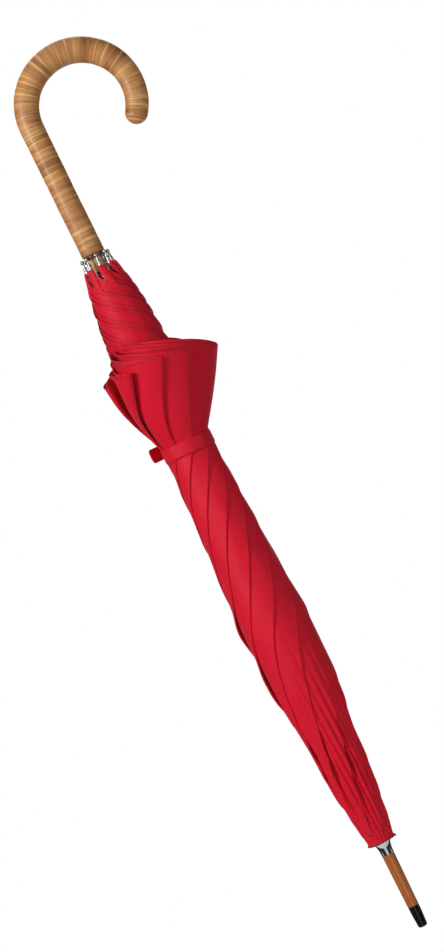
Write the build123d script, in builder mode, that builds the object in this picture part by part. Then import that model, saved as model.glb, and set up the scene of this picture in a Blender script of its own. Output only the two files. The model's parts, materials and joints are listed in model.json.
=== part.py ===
"""Stick umbrella, furled: crook handle at the top, ferrule tip at the origin.

Frame: +Z along the shaft from the ferrule tip to the handle, +X towards the crook's opening, millimetres.
Eight ribs hinge on a wire in the top notch, eight stretchers hinge at mid rib, and a runner on the shaft
joins the stretchers, so the whole frame opens as one linkage.
"""
from build123d import *
from math import cos, degrees, radians, sin
import os

os.makedirs("parts", exist_ok=True)

# ---- driving dimensions, mm ----
RIB_COUNT = 8
FIRST_RIB_AZIMUTH = 6.0        # degrees from +X
OPEN_ANGLE = 68.0              # degrees between an open rib and the shaft
LINK = 260.0                   # notch pivot to elbow, and elbow to runner pivot
RIB_BEYOND_RUNNER = 77.0       # furled rib end past the runner pivot
WIRE_RADIUS = 0.5

SHAFT_RADIUS = 7.0
TENON_RADIUS = 4.0
TENON_LENGTH = 26.5            # inside the wooden ferrule
SHAFT_SOCKET_DEPTH = 30.0

FERRULE_TIP_LENGTH = 22.0
FERRULE_TIP_END_RADIUS = 4.5
FERRULE_TIP_RADIUS = 5.35
WOODEN_FERRULE_LENGTH = 54.5
FERRULE_LOW_RADIUS = 5.45
FERRULE_HIGH_RADIUS = 6.1
SPIGOT_RADIUS = 3.2
SPIGOT_LENGTH = 12.0

CAP_HEIGHT = 15.0
CAP_LIP_INSET = 0.5            # lip inside the pivots' radius
CAP_WALL = 0.8
CROWN_HEIGHT = 5.5             # gathered cloth between the cap and the notch

HANDLE_WALL = 4.5              # wood round the shaft's socket
CROOK_RADIUS = 52.5            # centre line of the bend
SHANK_LENGTH = 132.6           # straight part below the bend
CROOK_END_ANGLE = -34.0        # degrees below +X, seen along +Y
COLLAR_HEIGHT = 3.2
COLLAR_WALL = 2.6
HANDLE_BEYOND_RUNNER = 17.4    # bare shaft and collar between the furled runner and the handle

RIB_DEPTH = 2.4
RIB_WIDTH = 3.2
SHEET = 0.55                   # wall of the folded steel channels
EYE_THICKNESS = 1.2
EYE_RADIUS = 1.8
RIB_TIP_RADIUS = 2.0
RIB_TIP_LENGTH = 13.0
STRETCHER_WIDTH = 2.8
STRETCHER_DEPTH = 2.0
ELBOW_PIN_RADIUS = 0.6

RUNNER_WALL = 1.8
RUNNER_TUBE_LENGTH = 64.0
HUB_HALF_HEIGHT = 6.0
HUB_RIM = 1.7                  # hub past the pivots

GORE_WALL = 2.0
GORE_START = 12.0              # above the notch pivot
GORE_END = 6.0                 # below the rib's end
GORE_STRAP_BULGE = 9.2         # cloth under the strap, past the ribs
STRAP_SHARE = 392 / 579        # strap height as a share of the gore's length
STRAP_WIDTH = 14.0
STRAP_THICKNESS = 1.2
STRAP_TAB_LENGTH = 17.0
STRAP_TAB_AZIMUTH = 150.0

# ---- clearances, mm ----
SEAT_GAP = 0.02                # glued or pressed seats in one body
RUN_FIT = 0.08                 # running fits, radial
SIDE_GAP = 0.25                # beside a flat eye in its slot
FABRIC_GAP = 0.3

# ---- sizes that follow ----
FERRULE_END_Z = FERRULE_TIP_LENGTH + WOODEN_FERRULE_LENGTH
TENON_START_Z = FERRULE_END_Z - TENON_LENGTH
CAP_END_Z = FERRULE_END_Z + CAP_HEIGHT
NOTCH_LOW_Z = CAP_END_Z + CROWN_HEIGHT
NOTCH_PIVOT_Z = NOTCH_LOW_Z + HUB_HALF_HEIGHT

RIB_STEP = 360.0 / RIB_COUNT
ELBOW_Z = NOTCH_PIVOT_Z + LINK
RUNNER_PIVOT_Z = NOTCH_PIVOT_Z + 2 * LINK
OPEN_RUNNER_Z = NOTCH_PIVOT_Z + 2 * LINK * cos(radians(OPEN_ANGLE))
EYE_HOLE_RADIUS = WIRE_RADIUS + 0.1
SLOT_WIDTH = EYE_THICKNESS + 2 * SIDE_GAP
HUB_GAP = 2.0                  # a link's channel starts this far past the hub's face
ROOT_START = HUB_HALF_HEIGHT + HUB_GAP
SPRING_AZIMUTH = FIRST_RIB_AZIMUTH + RIB_STEP / 2

RUNNER_OUTER_RADIUS = SHAFT_RADIUS + RUNNER_WALL
PIVOT_RADIUS = SHAFT_RADIUS + EYE_RADIUS + 1.7   # notch, elbow and runner pivots from the shaft axis
SLOT_FLOOR_RADIUS = PIVOT_RADIUS - EYE_RADIUS - SIDE_GAP
HUB_RADIUS = PIVOT_RADIUS + HUB_RIM
CAP_LIP_RADIUS = PIVOT_RADIUS - CAP_LIP_INSET
RIB_INNER_RADIUS = PIVOT_RADIUS + EYE_RADIUS
RIB_OUTER_RADIUS = RIB_INNER_RADIUS + RIB_DEPTH
RIB_MID_RADIUS = RIB_INNER_RADIUS + RIB_DEPTH / 2
RIB_END_Z = RUNNER_PIVOT_Z + RIB_BEYOND_RUNNER

HANDLE_RADIUS = SHAFT_RADIUS + HANDLE_WALL
COLLAR_RADIUS = SHAFT_RADIUS + COLLAR_WALL
HANDLE_START_Z = RUNNER_PIVOT_Z + HUB_HALF_HEIGHT + RUNNER_TUBE_LENGTH + HANDLE_BEYOND_RUNNER
CROOK_CENTRE_Z = HANDLE_START_Z + SHANK_LENGTH
SHAFT_END_Z = HANDLE_START_Z + SHAFT_SOCKET_DEPTH

GORE_START_Z = NOTCH_PIVOT_Z + GORE_START
GORE_END_Z = RIB_END_Z - GORE_END
GORE_LENGTH = GORE_END_Z - GORE_START_Z
GORE_INNER_RADIUS = RIB_OUTER_RADIUS + FABRIC_GAP
STRAP_Z = GORE_START_Z + STRAP_SHARE * GORE_LENGTH


def azimuth_of(number):
    """Azimuth of rib 1 to RIB_COUNT, degrees."""
    return FIRST_RIB_AZIMUTH + RIB_STEP * (number - 1)


def radial_plane(azimuth):
    """Plane through the shaft axis: local x is the radius at this azimuth, local y is +Z."""
    a = radians(azimuth)
    return Plane(origin=(0, 0, 0), x_dir=(cos(a), sin(a), 0), z_dir=(sin(a), -cos(a), 0))


def cross_plane(radius, azimuth, z):
    """Horizontal plane at a height, centred on a radius: local x is outward, local y is tangential."""
    a = radians(azimuth)
    return Plane(origin=(radius * cos(a), radius * sin(a), z), x_dir=(cos(a), sin(a), 0), z_dir=(0, 0, 1))


def finish(piece, node):
    """Label one finished sub-part and write it."""
    piece.part.label = node
    export_step(piece.part, f"parts/{node}.step")


# ---- handle end ----
crook_end = radians(CROOK_END_ANGLE)
crook_end_point = (CROOK_RADIUS * (1 + cos(crook_end)), 0, CROOK_CENTRE_Z + CROOK_RADIUS * sin(crook_end))

with BuildPart() as crook_handle:
    with BuildLine() as crook_path:
        Line((0, 0, HANDLE_START_Z), (0, 0, CROOK_CENTRE_Z))
        with BuildLine(Plane(origin=(CROOK_RADIUS, 0, CROOK_CENTRE_Z), x_dir=(1, 0, 0), z_dir=(0, -1, 0))):
            CenterArc((0, 0), CROOK_RADIUS, 180, CROOK_END_ANGLE - 180)
    with BuildSketch(Plane.XY.offset(HANDLE_START_Z)):
        Circle(HANDLE_RADIUS)
    sweep(path=crook_path.wires()[0])
    with Locations(crook_end_point):
        Sphere(HANDLE_RADIUS)
    fillet(crook_handle.edges().filter_by(GeomType.CIRCLE).sort_by(Axis.Z)[0], 1.5)
    with BuildSketch(Plane.XY.offset(HANDLE_START_Z)):
        Circle(SHAFT_RADIUS + SEAT_GAP)
    extrude(amount=SHAFT_SOCKET_DEPTH + SEAT_GAP, mode=Mode.SUBTRACT)
finish(crook_handle, "crook_handle")

with BuildPart() as handle_collar:
    with BuildSketch(Plane.XY.offset(HANDLE_START_Z - SEAT_GAP - COLLAR_HEIGHT)):
        Circle(COLLAR_RADIUS)
        Circle(SHAFT_RADIUS + SEAT_GAP, mode=Mode.SUBTRACT)
    extrude(amount=COLLAR_HEIGHT)
    chamfer(handle_collar.edges().filter_by(GeomType.CIRCLE).group_by(Axis.Z)[0].sort_by(SortBy.RADIUS)[-1], 0.5)
finish(handle_collar, "handle_collar")

# ---- catches: a bent strip in a pocket of the shaft, with a nose that stands out of it ----
CATCH_WIDTH = 2.4
CATCH_THICKNESS = 0.8
CATCH_LENGTH = 34.0
CATCH_NOSE_RADIUS = RUNNER_OUTER_RADIUS + 0.6
CATCH_NOSE_LENGTH = 12.0
CATCH_LEAF_RADIUS = 2.1        # back of the leaf from the shaft axis
CATCH_TRAVEL = CATCH_NOSE_RADIUS - SHAFT_RADIUS   # pressed in, the nose is flush with the shaft
POCKET_MARGIN = 0.6
WINDOW_MARGIN = 1.0
HAND_CATCH_Z = RUNNER_PIVOT_Z + 30.0
TOP_CATCH_Z = OPEN_RUNNER_Z + HUB_HALF_HEIGHT + RUNNER_TUBE_LENGTH + WINDOW_MARGIN


def catch_spring(nose_z, node):
    """Leaf spring: a straight leaf and a sloped nose with its flat face at nose_z."""
    root = CATCH_LEAF_RADIUS
    with BuildPart() as spring:
        with BuildSketch(radial_plane(SPRING_AZIMUTH)):
            with BuildLine():
                Polyline(
                    (root, nose_z + CATCH_LENGTH),
                    (root, nose_z + CATCH_THICKNESS),
                    (root + CATCH_THICKNESS, nose_z),
                    (CATCH_NOSE_RADIUS, nose_z),
                    (CATCH_NOSE_RADIUS, nose_z + CATCH_THICKNESS),
                    (root + 2 * CATCH_THICKNESS, nose_z + CATCH_NOSE_LENGTH),
                    (root + CATCH_THICKNESS, nose_z + CATCH_LENGTH),
                    close=True,
                )
            make_face()
        extrude(amount=CATCH_WIDTH / 2, both=True)
    finish(spring, node)


catch_spring(HAND_CATCH_Z, "hand_spring")
catch_spring(TOP_CATCH_Z, "top_spring")

# ---- shaft ----
STOP_PIN_RADIUS = 1.0
STOP_PIN_Z = OPEN_RUNNER_Z - HUB_HALF_HEIGHT - STOP_PIN_RADIUS - SIDE_GAP
STOP_PIN_REACH = RUNNER_OUTER_RADIUS - 0.4
pocket_length = CATCH_LENGTH + 2 * POCKET_MARGIN
pocket_floor = CATCH_LEAF_RADIUS - CATCH_TRAVEL - POCKET_MARGIN

with BuildPart() as shaft:
    with BuildSketch(Plane.XY.offset(TENON_START_Z)):
        Circle(TENON_RADIUS)
    extrude(amount=NOTCH_LOW_Z - TENON_START_Z)
    with BuildSketch(Plane.XY.offset(NOTCH_LOW_Z)):
        Circle(SHAFT_RADIUS)
    extrude(amount=SHAFT_END_Z - NOTCH_LOW_Z)
    for nose_z in (HAND_CATCH_Z, TOP_CATCH_Z):
        with BuildSketch(radial_plane(SPRING_AZIMUTH)):
            with Locations((pocket_floor, nose_z - POCKET_MARGIN)):
                Rectangle(2 * SHAFT_RADIUS, pocket_length, align=(Align.MIN, Align.MIN))
        extrude(amount=CATCH_WIDTH / 2 + SIDE_GAP, both=True, mode=Mode.SUBTRACT)
    with BuildSketch(radial_plane(SPRING_AZIMUTH + 90)):
        with Locations((0, STOP_PIN_Z)):
            Circle(STOP_PIN_RADIUS + SEAT_GAP)
    extrude(amount=SHAFT_RADIUS + 1, both=True, mode=Mode.SUBTRACT)
finish(shaft, "shaft")

with BuildPart() as stop_pin:
    with BuildSketch(radial_plane(SPRING_AZIMUTH + 90)):
        with Locations((0, STOP_PIN_Z)):
            Circle(STOP_PIN_RADIUS)
    extrude(amount=STOP_PIN_REACH, both=True)
finish(stop_pin, "stop_pin")

# ---- ferrule end ----
with BuildPart() as ferrule_tip:
    with BuildSketch(Plane.XZ):
        with BuildLine():
            Polyline((0, 0), (FERRULE_TIP_END_RADIUS, 0), (FERRULE_TIP_RADIUS, FERRULE_TIP_LENGTH - 7))
            Polyline(
                (FERRULE_TIP_RADIUS, FERRULE_TIP_LENGTH - 7),
                (FERRULE_TIP_RADIUS, FERRULE_TIP_LENGTH),
                (0, FERRULE_TIP_LENGTH),
                (0, 0),
            )
        make_face()
    revolve(axis=Axis.Z)
    fillet(ferrule_tip.edges().filter_by(GeomType.CIRCLE).sort_by(Axis.Z)[0], 2.0)
    with BuildSketch(Plane.XY.offset(FERRULE_TIP_LENGTH - SPIGOT_LENGTH - SEAT_GAP)):
        Circle(SPIGOT_RADIUS + SEAT_GAP)
    extrude(amount=SPIGOT_LENGTH + 1, mode=Mode.SUBTRACT)
finish(ferrule_tip, "ferrule_tip")

FERRULE_START_Z = FERRULE_TIP_LENGTH + SEAT_GAP
with BuildPart() as wooden_ferrule:
    with BuildSketch(Plane.XY.offset(FERRULE_START_Z)):
        Circle(FERRULE_LOW_RADIUS)
    with BuildSketch(Plane.XY.offset(FERRULE_END_Z)):
        Circle(FERRULE_HIGH_RADIUS)
    loft()
    with BuildSketch(Plane.XY.offset(FERRULE_START_Z - SPIGOT_LENGTH)):
        Circle(SPIGOT_RADIUS)
    extrude(amount=SPIGOT_LENGTH)
    with BuildSketch(Plane.XY.offset(TENON_START_Z - SEAT_GAP)):
        Circle(TENON_RADIUS + SEAT_GAP)
    extrude(amount=FERRULE_END_Z, mode=Mode.SUBTRACT)
finish(wooden_ferrule, "wooden_ferrule")

CAP_START_Z = FERRULE_END_Z + SEAT_GAP
with BuildPart() as ferrule_cap:
    with BuildSketch(Plane.XZ):
        with BuildLine() as cap_line:
            bell = Spline(
                (FERRULE_HIGH_RADIUS + 0.1, CAP_START_Z + CAP_WALL),
                (CAP_LIP_RADIUS, CAP_END_Z),
                tangents=[(0, 1), (0.75, 1)],
            )
            inner = Spline(
                (FERRULE_HIGH_RADIUS + 0.1 - CAP_WALL, CAP_START_Z + CAP_WALL),
                (CAP_LIP_RADIUS - CAP_WALL, CAP_END_Z),
                tangents=[(0, 1), (0.75, 1)],
            )
            Line(bell @ 1, inner @ 1)
            Polyline(
                bell @ 0,
                (FERRULE_HIGH_RADIUS + 0.1, CAP_START_Z),
                (TENON_RADIUS + SEAT_GAP, CAP_START_Z),
                (TENON_RADIUS + SEAT_GAP, CAP_START_Z + CAP_WALL),
                inner @ 0,
            )
        make_face()
    revolve(axis=Axis.Z)
finish(ferrule_cap, "ferrule_cap")

# ---- crown fabric: gathered between the cap and the notch ----
CROWN_START_Z = CAP_END_Z + FABRIC_GAP
CROWN_END_Z = NOTCH_LOW_Z + 3.0
with BuildPart() as canopy_crown:
    with BuildSketch(Plane.XZ):
        with BuildLine():
            Polyline(
                (TENON_RADIUS + SEAT_GAP, CROWN_START_Z),
                (CAP_LIP_RADIUS, CROWN_START_Z),
                (HUB_RADIUS + 1.5, NOTCH_LOW_Z - 1),
                (HUB_RADIUS + 2.1, CROWN_END_Z),
                (HUB_RADIUS + FABRIC_GAP, CROWN_END_Z),
                (HUB_RADIUS + FABRIC_GAP, NOTCH_LOW_Z - FABRIC_GAP),
                (TENON_RADIUS + SEAT_GAP, NOTCH_LOW_Z - FABRIC_GAP),
                close=True,
            )
        make_face()
    revolve(axis=Axis.Z)
finish(canopy_crown, "canopy_crown")


# ---- hubs: the notch and the runner hold the links' eyes on a wire ring ----
def slotted_hub(pivot_z, bore_radius, eyes_leave_up):
    """Collar with a slot for each eye and an outward groove for the wire ring."""
    slot_low = pivot_z - EYE_RADIUS - SIDE_GAP
    slot_high = pivot_z + EYE_RADIUS + SIDE_GAP
    if eyes_leave_up:
        slot_high = pivot_z + HUB_HALF_HEIGHT + 1
    else:
        slot_low = pivot_z - HUB_HALF_HEIGHT - 1
    groove_height = 2 * (WIRE_RADIUS + SEAT_GAP)
    with BuildPart() as hub:
        with BuildSketch(Plane.XY.offset(pivot_z - HUB_HALF_HEIGHT)):
            Circle(HUB_RADIUS)
            Circle(bore_radius, mode=Mode.SUBTRACT)
        extrude(amount=2 * HUB_HALF_HEIGHT)
        for number in range(1, RIB_COUNT + 1):
            with BuildSketch(radial_plane(azimuth_of(number))):
                with Locations((SLOT_FLOOR_RADIUS, slot_low)):
                    Rectangle(HUB_RADIUS, slot_high - slot_low, align=(Align.MIN, Align.MIN))
            extrude(amount=SLOT_WIDTH / 2, both=True, mode=Mode.SUBTRACT)
        with BuildSketch(Plane.XZ):
            with Locations((PIVOT_RADIUS - WIRE_RADIUS - SEAT_GAP, pivot_z)):
                Rectangle(HUB_RADIUS, groove_height, align=(Align.MIN, Align.CENTER))
        revolve(axis=Axis.Z, mode=Mode.SUBTRACT)
    return hub.part


def wire_ring(pivot_z, node):
    """Wire that threads every eye of a hub."""
    with BuildPart() as ring:
        with BuildSketch(Plane.XZ):
            with Locations((PIVOT_RADIUS, pivot_z)):
                Circle(WIRE_RADIUS)
        revolve(axis=Axis.Z)
    finish(ring, node)


with BuildPart() as top_notch:
    add(slotted_hub(NOTCH_PIVOT_Z, SHAFT_RADIUS + SEAT_GAP, True))
finish(top_notch, "top_notch")
wire_ring(NOTCH_PIVOT_Z, "notch_wire")

window_length = CATCH_NOSE_LENGTH + 2 * WINDOW_MARGIN
with BuildPart() as runner:
    add(slotted_hub(RUNNER_PIVOT_Z, SHAFT_RADIUS + RUN_FIT, False))
    with BuildSketch(Plane.XY.offset(RUNNER_PIVOT_Z + HUB_HALF_HEIGHT)):
        Circle(RUNNER_OUTER_RADIUS)
        Circle(SHAFT_RADIUS + RUN_FIT, mode=Mode.SUBTRACT)
    extrude(amount=RUNNER_TUBE_LENGTH)
    with BuildSketch(radial_plane(SPRING_AZIMUTH)):
        with Locations((0, HAND_CATCH_Z - WINDOW_MARGIN)):
            Rectangle(HUB_RADIUS, window_length, align=(Align.MIN, Align.MIN))
    extrude(amount=CATCH_WIDTH / 2 + SIDE_GAP, both=True, mode=Mode.SUBTRACT)
finish(runner, "runner")
wire_ring(RUNNER_PIVOT_Z, "runner_wire")

# ---- ribs, tips, stretchers and elbow pins ----
ROOT_BLOCK = 8.0
ELBOW_HALF_LENGTH = 3.0
TIP_PIN_RADIUS = 1.0
TIP_PIN_LENGTH = 8.0
TIP_START_Z = RIB_END_Z - 3.0
FORK_RADIUS = 1.5
FORK_WALL = 0.8
PIN_HEAD = 0.3
CROTCH = 3.6                   # elbow pivot to the foot of the fork


def eye_plate(azimuth, outline, pivot_z, hole_radius):
    """Flat eye of a link in its radial plane: a round end on the pivot, joined to an outline."""
    with BuildPart() as plate:
        with BuildSketch(radial_plane(azimuth)):
            with BuildLine():
                Polyline(*outline, close=True)
            make_face()
            with Locations((PIVOT_RADIUS, pivot_z)):
                Circle(EYE_RADIUS)
                Circle(hole_radius, mode=Mode.SUBTRACT)
        extrude(amount=EYE_THICKNESS / 2, both=True)
    return plate.part


def rib(number):
    """Folded steel channel, open towards the shaft, with a root eye, an elbow lug and a pin for its tip."""
    azimuth = azimuth_of(number)
    start = NOTCH_PIVOT_Z + ROOT_START
    depth = RIB_OUTER_RADIUS - RIB_INNER_RADIUS
    with BuildPart() as channel:
        with BuildSketch(cross_plane(RIB_MID_RADIUS, azimuth, start)):
            Rectangle(depth, RIB_WIDTH)
            with Locations((-SHEET, 0)):
                Rectangle(depth, RIB_WIDTH - 2 * SHEET, mode=Mode.SUBTRACT)
        extrude(amount=RIB_END_Z - start)
        for low, high in (
            (start, start + ROOT_BLOCK),
            (ELBOW_Z - ELBOW_HALF_LENGTH, ELBOW_Z + ELBOW_HALF_LENGTH),
            (RIB_END_Z - ROOT_BLOCK, RIB_END_Z),
        ):
            with BuildSketch(cross_plane(RIB_MID_RADIUS, azimuth, low)):
                Rectangle(depth, RIB_WIDTH)
            extrude(amount=high - low)
        root_outline = (
            (PIVOT_RADIUS - EYE_RADIUS * 0.8, NOTCH_PIVOT_Z + 0.8),
            (PIVOT_RADIUS - EYE_RADIUS * 0.8, start - 2),
            (RIB_INNER_RADIUS + SHEET, start + ROOT_BLOCK - 1),
            (RIB_OUTER_RADIUS - SHEET, start + 1),
            (PIVOT_RADIUS + EYE_RADIUS * 0.8, NOTCH_PIVOT_Z + 0.8),
        )
        add(eye_plate(azimuth, root_outline, NOTCH_PIVOT_Z, EYE_HOLE_RADIUS))
        lug_outline = (
            (PIVOT_RADIUS, ELBOW_Z - 1),
            (PIVOT_RADIUS, ELBOW_Z + 1),
            (RIB_INNER_RADIUS + SHEET, ELBOW_Z + ELBOW_HALF_LENGTH - 0.5),
            (RIB_INNER_RADIUS + SHEET, ELBOW_Z - ELBOW_HALF_LENGTH + 0.5),
        )
        with BuildSketch(radial_plane(azimuth)):
            with BuildLine():
                Polyline(*lug_outline, close=True)
            make_face()
            with Locations((PIVOT_RADIUS, ELBOW_Z)):
                Circle(FORK_RADIUS)
        extrude(amount=EYE_THICKNESS / 2, both=True)
        with BuildSketch(radial_plane(azimuth)):
            with Locations((PIVOT_RADIUS, ELBOW_Z)):
                Circle(ELBOW_PIN_RADIUS + SEAT_GAP)
        extrude(amount=EYE_THICKNESS, both=True, mode=Mode.SUBTRACT)
        with BuildSketch(cross_plane(RIB_MID_RADIUS, azimuth, RIB_END_Z)):
            Circle(TIP_PIN_RADIUS)
        extrude(amount=TIP_PIN_LENGTH)
    finish(channel, f"rib_{number}")


def rib_tip(number):
    """Turned metal tip on the rib's end: a socket, a neck and a ball."""
    length = RIB_TIP_LENGTH - 3.0
    with BuildPart() as tip:
        with BuildSketch(cross_plane(RIB_MID_RADIUS, azimuth_of(number), RIB_END_Z + SEAT_GAP)):
            Circle(RIB_TIP_RADIUS)
        extrude(amount=length, taper=6)
        with Locations(cross_plane(RIB_MID_RADIUS, azimuth_of(number), RIB_END_Z + length - 0.6)):
            Sphere(RIB_TIP_RADIUS * 0.8)
        with BuildSketch(cross_plane(RIB_MID_RADIUS, azimuth_of(number), RIB_END_Z)):
            Circle(TIP_PIN_RADIUS + SEAT_GAP)
        extrude(amount=TIP_PIN_LENGTH + 2 * SEAT_GAP, mode=Mode.SUBTRACT)
    finish(tip, f"rib_tip_{number}")


def elbow_pin(number):
    """Rivet through the stretcher's fork and the rib's lug."""
    fork_half = EYE_THICKNESS / 2 + SIDE_GAP + FORK_WALL
    with BuildPart() as pin:
        with BuildSketch(radial_plane(azimuth_of(number))):
            with Locations((PIVOT_RADIUS, ELBOW_Z)):
                Circle(ELBOW_PIN_RADIUS)
        extrude(amount=fork_half + RUN_FIT + PIN_HEAD, both=True)
        for side in (-1, 1):
            with BuildSketch(radial_plane(azimuth_of(number)).offset(side * (fork_half + RUN_FIT))):
                with Locations((PIVOT_RADIUS, ELBOW_Z)):
                    Circle(ELBOW_PIN_RADIUS + PIN_HEAD)
            extrude(amount=side * PIN_HEAD)
    finish(pin, f"elbow_pin_{number}")


def stretcher(number):
    """Folded steel strut: a fork at the rib's elbow and a flat eye at the runner."""
    azimuth = azimuth_of(number)
    low = ELBOW_Z + CROTCH
    high = RUNNER_PIVOT_Z - ROOT_START
    groove = ROOT_BLOCK
    fork_outer = EYE_THICKNESS / 2 + SIDE_GAP + FORK_WALL
    with BuildPart() as strut:
        with BuildSketch(cross_plane(PIVOT_RADIUS, azimuth, low)):
            Rectangle(STRETCHER_DEPTH, 2 * fork_outer)
        extrude(amount=high - low)
        with BuildSketch(cross_plane(PIVOT_RADIUS + SHEET, azimuth, low + groove)):
            Rectangle(STRETCHER_DEPTH, 2 * (fork_outer - SHEET))
        extrude(amount=high - low - 2 * groove, mode=Mode.SUBTRACT)
        with BuildSketch(radial_plane(azimuth)):
            with Locations((PIVOT_RADIUS, ELBOW_Z)):
                Circle(FORK_RADIUS)
            with Locations((PIVOT_RADIUS, ELBOW_Z)):
                Rectangle(STRETCHER_DEPTH, CROTCH + 1, align=(Align.CENTER, Align.MIN))
        extrude(amount=fork_outer, both=True)
        with BuildSketch(radial_plane(azimuth)):
            with Locations((PIVOT_RADIUS, ELBOW_Z - CROTCH)):
                Rectangle(4 * FORK_RADIUS, 2 * CROTCH, align=(Align.CENTER, Align.MIN))
        extrude(amount=EYE_THICKNESS / 2 + SIDE_GAP, both=True, mode=Mode.SUBTRACT)
        with BuildSketch(radial_plane(azimuth)):
            with Locations((PIVOT_RADIUS, ELBOW_Z)):
                Circle(ELBOW_PIN_RADIUS + RUN_FIT)
        extrude(amount=2 * fork_outer, both=True, mode=Mode.SUBTRACT)
        half = STRETCHER_DEPTH / 2
        eye_outline = (
            (PIVOT_RADIUS - half, high - ROOT_BLOCK / 2),
            (PIVOT_RADIUS + half, high - ROOT_BLOCK / 2),
            (PIVOT_RADIUS + half, RUNNER_PIVOT_Z - 0.8),
            (PIVOT_RADIUS - half, RUNNER_PIVOT_Z - 0.8),
        )
        add(eye_plate(azimuth, eye_outline, RUNNER_PIVOT_Z, EYE_HOLE_RADIUS))
    finish(strut, f"stretcher_{number}")


for number in range(1, RIB_COUNT + 1):
    rib(number)
    rib_tip(number)
    elbow_pin(number)
    stretcher(number)

# ---- furled canopy: one closed shell for each gore ----
STRAP_LOW_Z = STRAP_Z - STRAP_WIDTH / 2
STRAP_HIGH_Z = STRAP_Z + STRAP_WIDTH / 2
FURL_PROFILE = (               # cloth past the ribs, share of the gore's length
    (1.5, 0.0),
    (5.3, 0.057),
    (9.3, 0.138),
    (14.4, 0.221),
    (17.3, 0.302),
    (17.7, 0.377),
    (14.4, 0.466),
    (12.3, 0.532),
    (10.4, 0.604),
)
SKIRT_PROFILE = (
    (15.0, 0.720),
    (23.3, 0.746),
    (32.5, 0.777),
    (39.0, 0.808),
    (31.0, 0.832),
    (20.0, 0.851),
    (13.5, 0.893),
    (10.4, 0.938),
    (6.0, 0.976),
    (1.5, 1.0),
)
STRAP_MARGIN = 3.0             # level cloth past each edge of the strap


def outline_of(profile):
    """Radius and height of each point of a profile."""
    return [(GORE_INNER_RADIUS + bulge, GORE_START_Z + share * GORE_LENGTH) for bulge, share in profile]


GORE_STRAP_RADIUS = GORE_INNER_RADIUS + GORE_STRAP_BULGE
FURL_OUTLINE = [
    *outline_of(FURL_PROFILE),
    (GORE_STRAP_RADIUS, STRAP_LOW_Z - STRAP_MARGIN),
    (GORE_STRAP_RADIUS, STRAP_HIGH_Z + STRAP_MARGIN),
    *outline_of(SKIRT_PROFILE),
]


def gore_wall_radius(radius):
    """Inside radius of a gore where its outside has this radius."""
    return max(GORE_INNER_RADIUS, radius - GORE_WALL)


def canopy_gore(number):
    """Furled cloth between rib number and the next one, outside the ribs."""
    gap_angle = degrees(FABRIC_GAP / 2 / GORE_INNER_RADIUS)
    start = azimuth_of(number) + gap_angle
    inner_outline = [(gore_wall_radius(r), z) for r, z in reversed(FURL_OUTLINE)]
    with BuildPart() as gore:
        with BuildSketch(radial_plane(start)):
            with BuildLine():
                Polyline(*FURL_OUTLINE, *inner_outline, close=True)
            make_face()
        revolve(axis=Axis.Z, revolution_arc=RIB_STEP - 2 * gap_angle)
    finish(gore, f"canopy_gore_{number}")


for number in range(1, RIB_COUNT + 1):
    canopy_gore(number)

# ---- strap with its tab and press stud ----
STRAP_INNER_RADIUS = GORE_STRAP_RADIUS + FABRIC_GAP
STRAP_OUTER_RADIUS = STRAP_INNER_RADIUS + STRAP_THICKNESS
STRAP_OPENING = 6.0            # degrees between the band's ends
with BuildPart() as strap_band:
    with BuildSketch(radial_plane(STRAP_TAB_AZIMUTH)):
        with Locations((STRAP_INNER_RADIUS, STRAP_LOW_Z)):
            Rectangle(STRAP_THICKNESS, STRAP_WIDTH, align=(Align.MIN, Align.MIN))
    revolve(axis=Axis.Z, revolution_arc=360 - STRAP_OPENING)
finish(strap_band, "strap_band")

TAB_LIFT = 4.0
TAB_ROOT_RADIUS = STRAP_OUTER_RADIUS + FABRIC_GAP
TAB_SPLAY = 22.0               # degrees the tab stands out from the band's tangent
tab_turn = radians(STRAP_TAB_AZIMUTH)
tab_heading = radians(STRAP_TAB_AZIMUTH + 90 - TAB_SPLAY)
tab_root = Vector(TAB_ROOT_RADIUS * cos(tab_turn), TAB_ROOT_RADIUS * sin(tab_turn), STRAP_Z + TAB_LIFT)
tab_face = (sin(tab_heading), -cos(tab_heading), 0)
tab_plane = Plane(origin=tab_root, x_dir=(cos(tab_heading), sin(tab_heading), 0), z_dir=tab_face)
TAB_CORNER = 3.0
with BuildPart() as strap_tab:
    with BuildSketch(tab_plane):
        with Locations((STRAP_TAB_LENGTH / 2, 0)):
            RectangleRounded(STRAP_TAB_LENGTH, STRAP_WIDTH, TAB_CORNER)
    extrude(amount=STRAP_THICKNESS)
finish(strap_tab, "strap_tab")

STUD_RADIUS = 4.0
STUD_HEIGHT = 1.6
with BuildPart() as press_stud:
    with BuildSketch(tab_plane.offset(STRAP_THICKNESS + SEAT_GAP)):
        with Locations((STRAP_TAB_LENGTH - STUD_RADIUS - 2.5, 0)):
            Circle(STUD_RADIUS)
    extrude(amount=STUD_HEIGHT)
    fillet(press_stud.edges().filter_by(GeomType.CIRCLE).sort_by(Axis(tab_root, tab_face))[-1], 0.7)
finish(press_stud, "press_stud")
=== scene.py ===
"""Looks of the stick umbrella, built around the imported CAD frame. The scene is in metres; outlines and the
named lengths beside them are in millimetres, and azimuths in degrees."""
import json
import math
from functools import lru_cache

import bpy
import numpy as np
from mathutils import Matrix, Vector, noise


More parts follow.
